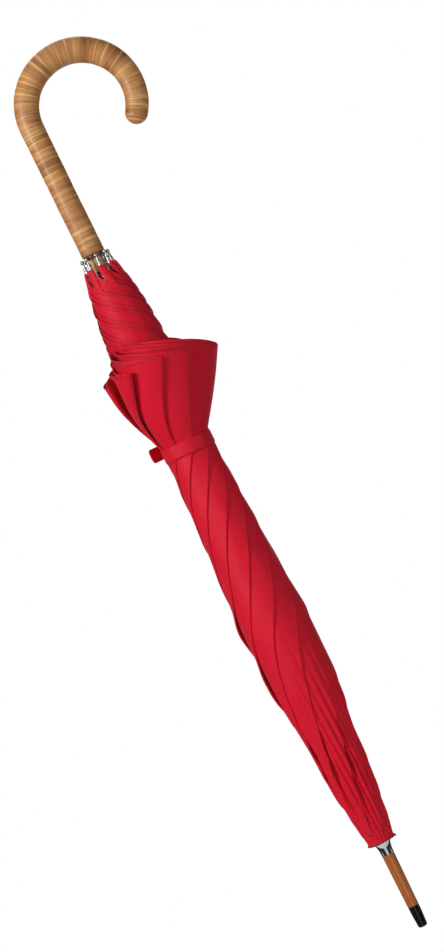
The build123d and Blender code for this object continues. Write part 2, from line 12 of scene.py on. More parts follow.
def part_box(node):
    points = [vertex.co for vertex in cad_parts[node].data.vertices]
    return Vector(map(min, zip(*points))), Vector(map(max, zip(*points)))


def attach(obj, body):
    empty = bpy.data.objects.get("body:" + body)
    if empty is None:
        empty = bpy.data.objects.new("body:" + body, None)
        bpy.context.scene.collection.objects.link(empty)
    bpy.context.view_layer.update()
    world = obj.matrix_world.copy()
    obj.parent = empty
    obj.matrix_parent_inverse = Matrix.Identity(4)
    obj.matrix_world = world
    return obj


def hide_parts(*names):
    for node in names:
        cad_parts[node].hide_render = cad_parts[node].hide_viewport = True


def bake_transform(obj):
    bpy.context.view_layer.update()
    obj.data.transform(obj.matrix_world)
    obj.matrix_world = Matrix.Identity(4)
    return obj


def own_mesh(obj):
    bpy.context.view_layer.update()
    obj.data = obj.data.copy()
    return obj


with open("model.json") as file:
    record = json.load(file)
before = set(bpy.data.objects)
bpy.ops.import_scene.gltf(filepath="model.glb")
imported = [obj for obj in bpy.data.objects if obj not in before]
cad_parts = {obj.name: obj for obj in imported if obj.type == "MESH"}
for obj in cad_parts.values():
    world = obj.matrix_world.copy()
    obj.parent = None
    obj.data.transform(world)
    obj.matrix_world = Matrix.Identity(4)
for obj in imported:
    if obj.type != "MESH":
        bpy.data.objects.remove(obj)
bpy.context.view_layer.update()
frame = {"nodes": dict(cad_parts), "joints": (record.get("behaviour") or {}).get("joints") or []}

MM = 0.001
ROOT = "handle_and_shaft"
OPENING = "canopy_opening"
RIBS = range(1, 9)
RIB_STEP = 45.0
JOINTS = {j["name"]: j for j in frame["joints"]}
NODES = frame["nodes"]


# ---------------------------------------------------------------- small helpers

def smooth(x):
    """0 below 0, 1 above 1, eased between."""
    x = np.clip(x, 0.0, 1.0)
    return x * x * (3 - 2 * x)


def ease(x):
    """smooth() of one plain number."""
    x = min(max(x, 0.0), 1.0)
    return x * x * (3 - 2 * x)


def through(points, x):
    """Value at x of a smooth line through (x, value) points."""
    xs, ys = (np.array(c, float) for c in zip(*points))
    slopes = np.gradient(ys, xs)
    i = np.clip(np.searchsorted(xs, x) - 1, 0, len(xs) - 2)
    h = xs[i + 1] - xs[i]
    t = np.clip((x - xs[i]) / h, 0, 1)
    return (
        ys[i] * (1 + 2 * t) * (1 - t) ** 2
        + ys[i + 1] * t * t * (3 - 2 * t)
        + h * (slopes[i] * t * (1 - t) ** 2 - slopes[i + 1] * t * t * (1 - t))
    )


def unit_radial(azimuth):
    """Level unit vector that points at an azimuth in degrees."""
    a = math.radians(azimuth)
    return Vector((math.cos(a), math.sin(a), 0))


@lru_cache(maxsize=None)
def rib_azimuth(k):
    """Azimuth of rib k, read from its hinge's axis, which is the tangent there."""
    name = OPENING if k == 1 else f"rib_{k}_hinge"
    ax = JOINTS[name]["axis"]
    return math.degrees(math.atan2(-ax[0], ax[1]))


def new_object(name, verts, faces, uvs=None, materials=(), face_materials=None, smooth_shade=True):
    """Object from points and faces, with one UV for each point and a material for each face."""
    mesh = bpy.data.meshes.new(name)
    mesh.from_pydata([tuple(v) for v in verts], [], [tuple(f) for f in faces])
    mesh.validate()
    if uvs is not None:
        layer = mesh.uv_layers.new(name="UVMap")
        corners = np.zeros(len(mesh.loops), np.int32)
        mesh.loops.foreach_get("vertex_index", corners)
        layer.data.foreach_set("uv", np.asarray(uvs, np.float32)[corners].ravel())
    for material in materials:
        mesh.materials.append(material)
    if face_materials is not None:
        mesh.polygons.foreach_set("material_index", np.asarray(face_materials, np.int32))
    mesh.polygons.foreach_set("use_smooth", [smooth_shade] * len(mesh.polygons))
    mesh.update()
    obj = bpy.data.objects.new(name, mesh)
    bpy.context.scene.collection.objects.link(obj)
    return obj


def grid_faces(rows, cols, wrap=False, start=0):
    """Quads of a grid whose vertices run along each row."""
    faces = []
    last = cols if wrap else cols - 1
    for j in range(rows - 1):
        for i in range(last):
            a = start + j * cols + i
            b = start + j * cols + (i + 1) % cols
            faces.append((a, b, b + cols, a + cols))
    return faces


def closed_tube_faces(rows, segments):
    """Faces of a tube of rings, with a face across its first ring and its last."""
    faces = grid_faces(rows, segments, wrap=True)
    faces.append(tuple(reversed(range(segments))))
    faces.append(tuple(range((rows - 1) * segments, rows * segments)))
    return faces


def apply_modifiers(obj):
    """Replace the mesh with the one its modifiers make."""
    graph = bpy.context.evaluated_depsgraph_get()
    mesh = bpy.data.meshes.new_from_object(obj.evaluated_get(graph))
    obj.modifiers.clear()
    obj.data = mesh


def give_thickness(obj, thickness):
    """Turn a sheet of faces into a closed shell, half of it on each side."""
    shell = obj.modifiers.new("thickness", "SOLIDIFY")
    shell.thickness = thickness
    shell.offset = 0
    apply_modifiers(obj)


def lathe(name, profile, centre, material, segments=48):
    """Closed turned piece about +Z through centre, from (radius, z) points; z is a world height."""
    verts, uvs = [], []
    for r, z in profile:
        for i in range(segments):
            a = 2 * math.pi * i / segments
            verts.append((centre[0] + r * math.cos(a), centre[1] + r * math.sin(a), z))
            uvs.append((i / segments, z))
    faces = closed_tube_faces(len(profile), segments)
    return new_object(name, verts, faces, uvs, [material])


# ---------------------------------------------------------------- materials

def srgb(r, g, b):
    """Linear colour from 0-255 sRGB."""
    return tuple(((c / 255) ** 2.2) for c in (r, g, b)) + (1.0,)


class Nodes:
    """Short calls for building one material's node tree."""

    def __init__(self, name):
        self.material = bpy.data.materials.new(name)
        self.material.use_nodes = True
        self.tree = self.material.node_tree
        self.shader = self.tree.nodes["Principled BSDF"]

    def add(self, kind, **settings):
        node = self.tree.nodes.new(kind)
        for key, value in settings.items():
            setattr(node, key, value)
        return node

    def link(self, a, b):
        self.tree.links.new(a, b)

    def coords(self, kind, scale=(1, 1, 1), shift=(0, 0, 0)):
        where = self.add("ShaderNodeTexCoord")
        mapping = self.add("ShaderNodeMapping")
        mapping.inputs["Scale"].default_value = scale
        mapping.inputs["Location"].default_value = shift
        self.link(where.outputs[kind], mapping.inputs["Vector"])
        return mapping.outputs["Vector"]

    def noise(self, vector, scale, detail, roughness=0.5, distortion=0.0):
        node = self.add("ShaderNodeTexNoise")
        node.inputs["Scale"].default_value = scale
        node.inputs["Detail"].default_value = detail
        node.inputs["Roughness"].default_value = roughness
        node.inputs["Distortion"].default_value = distortion
        self.link(vector, node.inputs["Vector"])
        return node.outputs["Fac"]

    def wave(self, vector, scale, direction, distortion):
        node = self.add("ShaderNodeTexWave", wave_type="BANDS", bands_direction=direction, wave_profile="SIN")
        node.inputs["Scale"].default_value = scale
        node.inputs["Distortion"].default_value = distortion
        self.link(vector, node.inputs["Vector"])
        return node.outputs["Fac"]

    def ramp(self, value, *stops):
        """Colour for a value, from (position, colour) stops."""
        node = self.add("ShaderNodeValToRGB")
        elements = node.color_ramp.elements
        while len(elements) < len(stops):
            elements.new(0.5)
        for element, (position, colour) in zip(elements, stops):
            element.position = position
            element.color = colour
        self.link(value, node.inputs["Fac"])
        return node.outputs["Color"]

    def feed(self, socket, value):
        """Set a socket to a constant, or link another node's output to it."""
        if isinstance(value, (int, float, tuple)):
            socket.default_value = value
        else:
            self.link(value, socket)

    def mix(self, factor, a, b):
        """Colour a, turning into b as the factor goes from 0 to 1."""
        node = self.add("ShaderNodeMix", data_type="RGBA", blend_type="MIX")
        for socket, value in ((node.inputs[0], factor), (node.inputs[6], a), (node.inputs[7], b)):
            self.feed(socket, value)
        return node.outputs[2]

    def math(self, operation, a, b):
        node = self.add("ShaderNodeMath", operation=operation)
        for socket, value in zip(node.inputs, (a, b)):
            self.feed(socket, value)
        return node.outputs[0]

    def spread(self, value, low, high):
        """Map 0-1 onto low-high."""
        node = self.add("ShaderNodeMapRange")
        node.inputs["To Min"].default_value = low
        node.inputs["To Max"].default_value = high
        self.link(value, node.inputs["Value"])
        return node.outputs["Result"]

    def bump(self, height, strength, distance, below=None):
        node = self.add("ShaderNodeBump")
        node.inputs["Strength"].default_value = strength
        node.inputs["Distance"].default_value = distance
        self.link(height, node.inputs["Height"])
        if below is not None:
            self.link(below, node.inputs["Normal"])
        return node.outputs["Normal"]

    def set(self, **values):
        """Fill the shader's sockets, named with _ for a space."""
        for key, value in values.items():
            self.feed(self.shader.inputs[key.replace("_", " ")], value)
        return self.material


BLACK_STOP = (0, 0, 0, 1)
WHITE_STOP = (1, 1, 1, 1)


def cloth_material(name, colour, dark, sheen):
    """Fine plain-weave polyester: threads both ways, soft blotches and a grazing sheen. UVs are in metres."""
    threads, unevenness = 900, 0.4
    n = Nodes(name)
    uv = n.coords("UV")
    where = n.coords("Object")
    warp = n.wave(uv, threads, "X", unevenness)
    weft = n.wave(uv, threads, "Y", unevenness)
    weave = n.math("MULTIPLY", warp, weft)
    blotch = n.noise(where, 38, 3)
    fine = n.noise(where, 420, 2)
    tone = n.mix(n.spread(blotch, 0.0, 0.45), colour, dark)
    tone = n.mix(n.spread(fine, 0.0, 0.12), tone, dark)
    thread = n.bump(weave, 0.25, 0.00012)
    crease = n.bump(n.noise(where, 70, 3, 0.5), 0.1, 0.0012, thread)
    return n.set(
        Base_Color=tone,
        Roughness=n.spread(fine, 0.5, 0.68),
        Normal=crease,
        Sheen_Weight=sheen,
        Sheen_Roughness=0.45,
        Sheen_Tint=(1.0, 0.62, 0.62, 1.0),
        Specular_IOR_Level=0.22,
    )


def wood_material(name, light, mid, dark, line, across, roughness, coat):
    """Wood whose grain runs across the piece, by UV with v along it in metres, or else along its Z."""
    n = Nodes(name)
    where = n.coords("Object")
    if across:
        broad = n.noise(n.coords("UV", scale=(0.12, 1, 1)), 60, 6, 0.7, 0.05)
        narrow = n.noise(n.coords("UV", scale=(0.035, 1, 1), shift=(3.7, 0, 0)), 300, 4, 0.6)
        rings = n.noise(n.coords("UV", scale=(0.03, 1, 1), shift=(9.1, 0, 0)), 700, 2, 0.5)
    else:
        broad = n.noise(n.coords("Object", scale=(1, 1, 0.05)), 260, 5, 0.6, 0.1)
        narrow = n.noise(n.coords("Object", scale=(1, 1, 0.03), shift=(3.7, 0, 0)), 900, 3, 0.6)
        rings = n.noise(n.coords("Object", scale=(1, 1, 0.08), shift=(9.1, 0, 0)), 1600, 2, 0.5)
    fibre = n.noise(where, 1100, 3)
    tone = n.ramp(broad, (0.36, dark), (0.47, mid), (0.6, light))
    bright = n.ramp(narrow, (0.56, BLACK_STOP), (0.62, WHITE_STOP))
    tone = n.mix(n.math("MULTIPLY", bright, 0.75), tone, line)
    deep = n.ramp(narrow, (0.34, WHITE_STOP), (0.44, BLACK_STOP))
    tone = n.mix(n.math("MULTIPLY", deep, 0.55), tone, dark)
    thin = n.ramp(rings, (0.36, WHITE_STOP), (0.44, BLACK_STOP))
    tone = n.mix(n.math("MULTIPLY", thin, 0.35), tone, dark)
    height = n.math("ADD", narrow, n.math("MULTIPLY", fibre, 0.4))
    return n.set(
        Base_Color=tone,
        Roughness=n.spread(fibre, roughness - 0.07, roughness + 0.07),
        Normal=n.bump(height, 0.2, 0.0003),
        Coat_Weight=coat,
        Coat_Roughness=0.12,
    )


def metal_material(name, colour, roughness, brushed=0.0, wear=0.15):
    """Plated or bare steel with fine marks along the piece and faint smudges."""
    n = Nodes(name)
    where = n.coords("Object")
    lines = n.noise(n.coords("Object", scale=(1, 1, 0.04)), 1400, 2)
    smudge = n.noise(where, 160, 4)
    dull = tuple(c * (1 - wear) for c in colour[:3]) + (1.0,)
    return n.set(
        Base_Color=n.mix(smudge, colour, dull),
        Metallic=1.0,
        Roughness=n.spread(smudge, max(roughness - 0.05, 0.02), roughness + 0.06),
        Normal=n.bump(lines, 0.05 + brushed, 0.00008),
    )


def plastic_material(name, colour, roughness, coat):
    """Moulded or painted surface with a fine speck and a faint cloudiness."""
    n = Nodes(name)
    where = n.coords("Object")
    speck = n.noise(where, 700, 3)
    cloud = n.noise(where, 90, 2)
    lighter = tuple(min(1.0, c * 1.6 + 0.004) for c in colour[:3]) + (1.0,)
    return n.set(
        Base_Color=n.mix(cloud, colour, lighter),
        Roughness=n.spread(speck, roughness, roughness + 0.08),
        Normal=n.bump(speck, 0.04, 0.0002),
        Specular_IOR_Level=0.3,
        Coat_Weight=coat,
        Coat_Roughness=0.06,
    )


CLOTH = cloth_material("red_canopy_cloth", srgb(210, 6, 44), srgb(182, 0, 34), sheen=0.12)
FRAYED = cloth_material("frayed_edge_thread", srgb(112, 6, 26), srgb(84, 2, 20), sheen=0.5)
THREAD = cloth_material("stitch_thread", srgb(150, 8, 30), srgb(120, 4, 24), sheen=0.5)
HANDLE_WOOD = wood_material(
    "handle_wood",
    light=srgb(196, 142, 84),
    mid=srgb(170, 114, 62),
    dark=srgb(128, 80, 40),
    line=srgb(226, 176, 112),
    across=True,
    roughness=0.52,
    coat=0.04,
)
SHAFT_WOOD = wood_material(
    "shaft_wood",
    light=srgb(206, 166, 118),
    mid=srgb(188, 144, 96),
    dark=srgb(158, 112, 70),
    line=srgb(220, 184, 138),
    across=False,
    roughness=0.45,
    coat=0.1,
)
FERRULE_WOOD = wood_material(
    "ferrule_wood",
    light=srgb(172, 98, 38),
    mid=srgb(160, 87, 30),
    dark=srgb(146, 76, 25),
    line=srgb(178, 106, 45),
    across=False,
    roughness=0.3,
    coat=0.7,
)
CHROME = metal_material("chrome", (0.6, 0.6, 0.62, 1), 0.08, wear=0.1)
NICKEL = metal_material("nickel", (0.5, 0.49, 0.47, 1), 0.36, wear=0.3)
RIB_STEEL = metal_material("rib_steel", (0.42, 0.42, 0.44, 1), 0.32, brushed=0.1)
STEEL = metal_material("plain_steel", (0.56, 0.56, 0.58, 1), 0.28, brushed=0.08)
SPRING = metal_material("spring_steel", (0.5, 0.5, 0.52, 1), 0.22, brushed=0.05)
BLACK = plastic_material("black_tip", (0.002, 0.002, 0.0022, 1), 0.1, 0.0)
# painted shade: the handle collar's dark brown stands in for the shadow gap under the handle's end
COLLAR_PAINTED_SHADE = plastic_material("collar_painted_shade", srgb(70, 34, 20), 0.25, 0.5)


def paint(node, material):
    """A carried-over CAD node gets a better material."""
    mesh = NODES[node].data
    mesh.materials.clear()
    mesh.materials.append(material)


# ---------------------------------------------------------------- crook handle

def build_handle():
    """Bent wood crook: straight shank, a bend of more than half a turn that swells at its top, round end."""
    low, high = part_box("crook_handle")
    wood_radius = 11.5 * MM
    bend_radius = (high.x - wood_radius) / 2
    bend_z = high.z - bend_radius - wood_radius
    sweep = math.radians(214.0)
    swell = ((0.0, 11.4), (0.35, 11.5), (0.6, 12.6), (0.72, 12.6), (0.9, 11.6), (1.0, 11.0))
    straight = bend_z - low.z
    total = straight + bend_radius * sweep
    rows, segments = 220, 56
    edge_depth, edge_share = 1.0 * MM, 0.86
    end_radius = swell[-1][1] * MM
    ring_height, lump_height = 0.16 * MM, 0.22 * MM
    # (distance along the wood, share of its radius): a rounded lower edge, the length, a round end
    stations = []
    for t in np.linspace(0, math.pi / 2, 5):
        stations.append((edge_depth * (1 - math.cos(t)), edge_share + (1 - edge_share) * math.sin(t)))
    for s in range(2, rows):
        stations.append((s * total / (rows - 1), 1.0))
    for t in np.linspace(0.08, 1, 12) * math.pi / 2:
        stations.append((total + end_radius * math.sin(t), max(math.cos(t), 0.004)))
    verts, uvs = [], []
    for s, share in stations:
        along = min(s, total)
        if along <= straight:
            centre, ahead = Vector((0, 0, low.z + along)), Vector((0, 0, 1))
        else:
            turn = math.pi - (along - straight) / bend_radius
            centre = Vector((bend_radius * (1 + math.cos(turn)), 0, bend_z + bend_radius * math.sin(turn)))
            ahead = Vector((math.sin(turn), 0, -math.cos(turn)))
        centre = centre + ahead * (s - along)
        side = ahead.cross(Vector((0, 1, 0)))
        radius = through(swell, along / total) * MM
        ring = noise.noise(Vector((0.0, 3.1, along * 90))) * ring_height
        for i in range(segments):
            a = 2 * math.pi * i / segments
            lump = noise.noise(Vector((math.cos(a), math.sin(a), along * 28))) * lump_height
            r = (radius + ring + lump) * share
            verts.append(centre + side * (r * math.cos(a)) + Vector((0, 1, 0)) * (r * math.sin(a)))
            uvs.append((abs(i / segments - 0.5) * 0.07, s))
    faces = closed_tube_faces(len(stations), segments)
    handle = new_object("crook_handle_wood", verts, faces, uvs, [HANDLE_WOOD])
    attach(handle, ROOT)
    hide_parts("crook_handle")


# ---------------------------------------------------------------- furled cloth

# lengths here are millimetres
TIP_Z = 697.0            # hem at a rib's tip
STRAP_TOP_Z = 514.0
STRAP_MIDDLE_Z = 507.0
CLOTH_LOW_Z = 101.0
LAYER = 1.12             # a flap's two layers and the air between them, for each rib it passes
HEM_LAYER = 0.35         # more of it where the hems lie
HALF_GAP = 0.28          # half the distance between a flap's two layers
FOLD_GAP = 0.62          # how much further each stands off near the fold
FOLD_ROUND = 1.1         # length of cloth that turns round the fold
CLOTH_THICKNESS = 0.26
RIBS_LOW_RADIUS = 13.5   # cloth lying on the ribs at their roots
RIBS_FLARE = 2.3         # how much further out it lies above them
PLEAT_WAVES = 12         # two pleats each, round the bundle
TUCK = 2.5               # degrees that a layer runs on past its rib
RISE_DEG = 26.0          # degrees in which a flap climbs from the ribs to the bundle's outside
HEM_ARC = 4.4            # turned-in hem, measured round the bundle
HEM_STEP = 0.5           # extra thickness of the turned-in hem
INNER_HEM_RISE = 5.2
# the bundle's radius by height
CORE_OUTLINE = (
    (90, 13.0), (100, 14.6), (110, 16.0), (119, 16.9), (148, 19.6), (195, 23.8), (243, 29.0), (290, 32.2),
    (333, 32.6), (385, 29.5), (423, 27.5), (470, 25.7), (500, 24.4), (514, 24.4), (530, 25.6), (560, 27.0),
    (590, 28.0), (613, 28.6), (632, 27.4), (651, 25.4), (661, 23.8), (680, 20.0), (690, 16.9), (700, 15.9),
)
# degrees that the folds have wrapped round the bundle, by height
WRAP = (
    (95, 15), (120, 28), (167, 48), (231, 76), (297, 108), (354, 157), (415, 211), (482, 288), (514, 332),
)
# each gore's hem corner, by rib: degrees past the rib, radius, height, and for how many degrees behind it
# the flap stands off
CORNERS = {
    1: (330, 60, 588, 96), 2: (311, 67, 582, 84), 3: (324, 60, 586, 60), 4: (354, 56, 588, 60),
    5: (384, 50, 589, 50), 6: (382, 57, 591, 56), 7: (371, 60, 592, 84), 8: (354, 61, 587, 96),
}
OPEN_HEM = {6: 3.4, 5: 1.6}                            # how far the fold gapes at these corners
FINS = {2: (322, 2.6), 3: (272, 2.8), 7: (395, 1.2)}   # height where a fold stands off, and how far


def hem_height(wrap, corner, side):
    """Height of a layer's hem where the flap has wrapped this far round; the inner layer's stands higher."""
    full, _, corner_z, _ = corner
    height = TIP_Z - (TIP_Z - corner_z) * (wrap / full) ** 0.85
    if side < 0:
        height = height + INNER_HEM_RISE * smooth((full - wrap) / 70) * smooth(wrap / 40)
    return height


def flap_reach(z, corner, side):
    """How far round the flap reaches at each height: its fold below the corner, its hem above."""
    full, _, corner_z, _ = corner
    wraps = np.linspace(0, full, 400)
    hem = np.interp(z, hem_height(wraps, corner, side)[::-1], wraps[::-1])
    fold = through(WRAP, np.minimum(z, STRAP_TOP_Z))
    share = np.clip((z - STRAP_TOP_Z) / (corner_z - STRAP_TOP_Z), 0, 1)
    fold = fold + (full - WRAP[-1][1]) * (0.4 * smooth(share) + 0.6 * share)
    return np.where(z > corner_z, hem, fold)


@lru_cache(maxsize=None)
def level(k, z, side):
    """At one height: how far gore k's layer reaches, the bundle's radius and the radius of the ribs in it."""
    reach = float(flap_reach(z, CORNERS[k], side))
    core = float(through(CORE_OUTLINE, z))
    ribs = RIBS_LOW_RADIUS + RIBS_FLARE * ease((z - 99) / 12)
    return reach, core, ribs


def pleat(a, z):
    """Lengthwise pleats where the cloth is gathered to the cap: round ridges, sharp valleys, uneven depth."""
    bend = 0.25 * math.sin(3 * a + z * 0.02)
    depth = 1 + 0.7 * noise.noise(Vector((2.6 * math.cos(a), 2.6 * math.sin(a), z * 0.004)))
    slant = 0.0016 * (z - 100)
    return (abs(math.cos(PLEAT_WAVES * (a + slant) + bend)) - 0.62) * depth


def ripple(azimuth, z):
    """Radial unevenness of the rolled cloth, the same for every layer at one place."""
    a = math.radians(azimuth)
    low = noise.noise(Vector((1.6 * math.cos(a), 1.6 * math.sin(a), z * 0.016))) * 1.3
    fine = noise.noise(Vector((4.5 * math.cos(a), 4.5 * math.sin(a), z * 0.03 + 9))) * 0.5
    free = ease((z - 115) / 60) * ease((690 - z) / 40)
    free *= 1 - math.exp(-(((z - STRAP_MIDDLE_Z) / 13) ** 2))
    near_cap = ease((320 - z) / 150) * (1.0 + 1.5 * ease((z - 100) / 45))
    return (low + fine) * free + pleat(a, z) * near_cap


def flap_point(k, wrap, z, side, lift=0.0):
    """Point of gore k's flap, in metres. Its place is in degrees past the rib and millimetres of height;
    side is +1 on its outer layer and -1 on its inner one."""
    full, corner_radius, corner_z, stand = CORNERS[k]
    reach, core, floor_radius = level(k, z, side)
    behind = reach - wrap
    if behind < 0:
        share = ease(-behind / max(RIB_STEP - reach, 1.0))
        radius = core + (floor_radius - core) * share
        arc = math.radians(-behind) * core
    else:
        arc = math.radians(behind) * core
        fraction = min(max((min(z, corner_z) - STRAP_TOP_Z) / (corner_z - STRAP_TOP_Z), 0.0), 1.0)
        past = full - wrap if z > corner_z else behind
        stand_off = 1 - (past / stand) ** 1.6 if past < stand else 0.0
        radius = core + (corner_radius - core) * fraction * stand_off
        radius -= (LAYER + HEM_LAYER * ease((z - 550) / 40)) * behind / RIB_STEP
        start = 0.0 if side > 0 or reach < RIB_STEP else RIB_STEP
        rise = ease((wrap - start) / max(min(RISE_DEG, 0.45 * (reach - start)), 1.0))
        radius = floor_radius + max(radius - floor_radius, 0.0) * rise
    rounded = math.sqrt(max(0.0, 1 - (1 - min(arc / FOLD_ROUND, 1)) ** 2))
    gape = OPEN_HEM.get(k, 0.0) * math.exp(-(((z - corner_z) / 32) ** 2)) * math.exp(-((arc / 16) ** 2))
    if z > corner_z:
        offset = side * (HALF_GAP + gape) + HEM_STEP * ease((HEM_ARC - arc) / 0.9)
    else:
        pressed = math.exp(-(((z - STRAP_MIDDLE_Z) / 12) ** 2))
        fold_gap = FOLD_GAP * math.exp(-arc / 4.0) * (1 - 0.9 * pressed)
        offset = side * (HALF_GAP + fold_gap + gape) * rounded
    fin_z, fin = FINS.get(k, (0, 0.0))
    radius += fin * math.exp(-(((z - fin_z) / 24) ** 2)) * math.exp(-((arc / 7) ** 2))
    radius += offset + ripple(rib_azimuth(k) + wrap, z) + lift
    a = math.radians(rib_azimuth(k) + wrap)
    return (math.cos(a) * radius * MM, math.sin(a) * radius * MM, z * MM)


def stitch(a, b, out, width, height):
    """Eight vertices of one short raised thread from a to b, proud of the cloth along out."""
    along = (b - a).normalized()
    across = along.cross(out).normalized() * (width / 2)
    dip = along * (height * 0.9)
    top = across * 0.6
    low = [a - across, a + across, b + across, b - across]
    high = [a - top + dip, a + top + dip, b + top - dip, b - top - dip]
    return low + [p + out * height for p in high]


STITCH_FACES = ((0, 1, 5, 4), (1, 2, 6, 5), (2, 3, 7, 6), (3, 0, 4, 7), (4, 5, 6, 7), (3, 2, 1, 0))
STITCH_LENGTH = 2.0
STITCH_PITCH = 3.1


def add_stitch(verts, faces, *where):
    """Add one stitch to the lists of a thread's points and faces."""
    base = len(verts)
    verts += stitch(*where)
    faces += [tuple(base + i for i in face) for face in STITCH_FACES]


def hem_stitches(k, side):
    """Running stitch that holds a layer's hem, a little in from its edge."""
    full = CORNERS[k][0]
    verts, faces = [], []
    lift = 0.12
    wraps = np.linspace(4, full - 3, 700)
    heights = hem_height(wraps, CORNERS[k], side)
    points = []
    for wrap, z in zip(wraps.tolist(), heights.tolist()):
        _, core, _ = level(k, z, side)
        points.append(Vector(flap_point(k, wrap - math.degrees(0.8 * HEM_ARC / core), z, side, lift)))
    run = 0.0
    start = None
    for before, here in zip(points, points[1:]):
        run += (here - before).length / MM
        if start is None and run % STITCH_PITCH < STITCH_LENGTH:
            start = before
        elif start is not None and run % STITCH_PITCH >= STITCH_LENGTH:
            out = Vector((here.x, here.y, 0)).normalized()
            add_stitch(verts, faces, start, here, out, 0.5 * MM, 0.22 * MM)
            start = None
    return verts, faces


def furled_gore(k):
    """One gore, folded down its middle with the fold rolled round the ribs as a two-layer flap."""
    corner_z = CORNERS[k][2]
    skirt_z = STRAP_TOP_Z + 6
    low_rows = np.linspace(CLOTH_LOW_Z, skirt_z, 96)
    skirt_rows = np.linspace(skirt_z, corner_z, 22)[1:]
    hem_rows = np.linspace(corner_z, TIP_Z, 80)[1:]
    heights = np.concatenate([low_rows, skirt_rows, hem_rows]).tolist()
    # shares of the way back from the fold to the rib, closest together at the fold
    edge = 0.06
    back = np.concatenate([np.linspace(0, edge, 10)[:-1], edge + (1 - edge) * np.linspace(0, 1, 56) ** 1.2])
    rows, cols = len(heights), len(back)
    verts, uvs = [], []
    for side in (1, -1):
        for z in heights:
            reach, core, _ = level(k, z, side)
            root = 0.0 if side > 0 else RIB_STEP
            end = root + TUCK * (1 if reach < root else -1)
            if z > corner_z:
                end = min(end, reach * 0.97)
            for b in back:
                wrap = reach + (end - reach) * b
                verts.append(flap_point(k, wrap, z, side))
                uvs.append((side * math.radians(reach - wrap) * core * MM, z * MM))
    faces = grid_faces(rows, cols)
    faces += [tuple(reversed(f)) for f in grid_faces(rows, cols, start=rows * cols)]
    fold_rows = int(np.searchsorted(heights, corner_z + 0.01))
    for j in range(fold_rows - 1):
        a, b = j * cols, rows * cols + j * cols
        faces.append((a, a + cols, b + cols, b))
    cloth = new_object(f"furled_gore_{k}", verts, faces, uvs, [CLOTH])
    give_thickness(cloth, CLOTH_THICKNESS * MM)
    thread_verts, thread_faces = hem_stitches(k, 1)
    inner_verts, inner_faces = hem_stitches(k, -1)
    thread_faces += [tuple(i + len(thread_verts) for i in f) for f in inner_faces]
    thread_verts += inner_verts
    thread = new_object(f"hem_stitches_{k}", thread_verts, thread_faces, None, [THREAD])
    return cloth, thread


# ---------------------------------------------------------------- taut gores of the open canopy

# millimetres
FAN_WIDTH = 4.0          # the stowed gore's strip beside its rib
FAN_RADIUS = 15.3
FAN_LOW_Z = 105.0
TAUT_THICKNESS = 0.3
HEM_HOLLOW = 0.03        # share of the length by which the hem curves in between two ribs
PUFF = 3.0               # how far the stowed strip bows outwards


def unsmooth(w):
    """The x at which smooth(x) is w."""
    return 0.5 - math.sin(math.asin(1 - 2 * w) / 3)


def taut_gore(k):
    """The same cloth for the open umbrella, built stowed: its columns stand side by side in a narrow strip on
    the rib, each as long as it would be with the gore fanned out to the next rib."""
    joint = JOINTS[f"gore_{k}_spread"]
    hinge = np.array(joint["pos_m"]) / MM
    normal = np.array(joint["axis"])
    spread = math.radians(joint["range_deg"][1])
    radial = np.array(unit_radial(rib_azimuth(k)))
    tangent = np.array([-radial[1], radial[0], 0.0])
    across = np.cross(normal, (0, 0, 1))
    across = across if across @ tangent > 0 else -across
    out = np.cross(across, (0, 0, 1))
    out = out if out @ radial > 0 else -out
    origin = radial * FAN_RADIUS
    cols, rows = 41, 60
    tip = TIP_Z - hinge[2]
    verts, uvs = [], []
    for j in range(rows):
        down = j / (rows - 1)
        for i in range(cols):
            share = i / (cols - 1)
            turn = share * spread
            chord = tip * math.cos(spread / 2) / math.cos(turn - spread / 2)
            chord *= 1 - HEM_HOLLOW * 4 * share * (1 - share)
            z = FAN_LOW_Z + (hinge[2] + chord - FAN_LOW_Z) * down
            puff = PUFF * math.sin(math.pi * share) * ease((z - 230) / 160) * ease((600 - z) / 120)
            place = origin + across * (FAN_WIDTH * unsmooth(share)) + out * puff
            verts.append((place[0] * MM, place[1] * MM, z * MM))
            uvs.append((share * spread * (z - hinge[2]) * MM, z * MM))
    cloth = new_object(f"canopy_gore_cloth_{k}", verts, grid_faces(rows, cols), uvs, [CLOTH])
    give_thickness(cloth, TAUT_THICKNESS * MM)
    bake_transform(cloth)
    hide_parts(f"canopy_gore_{k}")


def build_canopy():
    """Eight gores, each furled and taut."""
    for k in RIBS:
        cloth, thread = furled_gore(k)
        for piece in (cloth, thread):
            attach(piece, ROOT)
            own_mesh(piece)
        taut_gore(k)


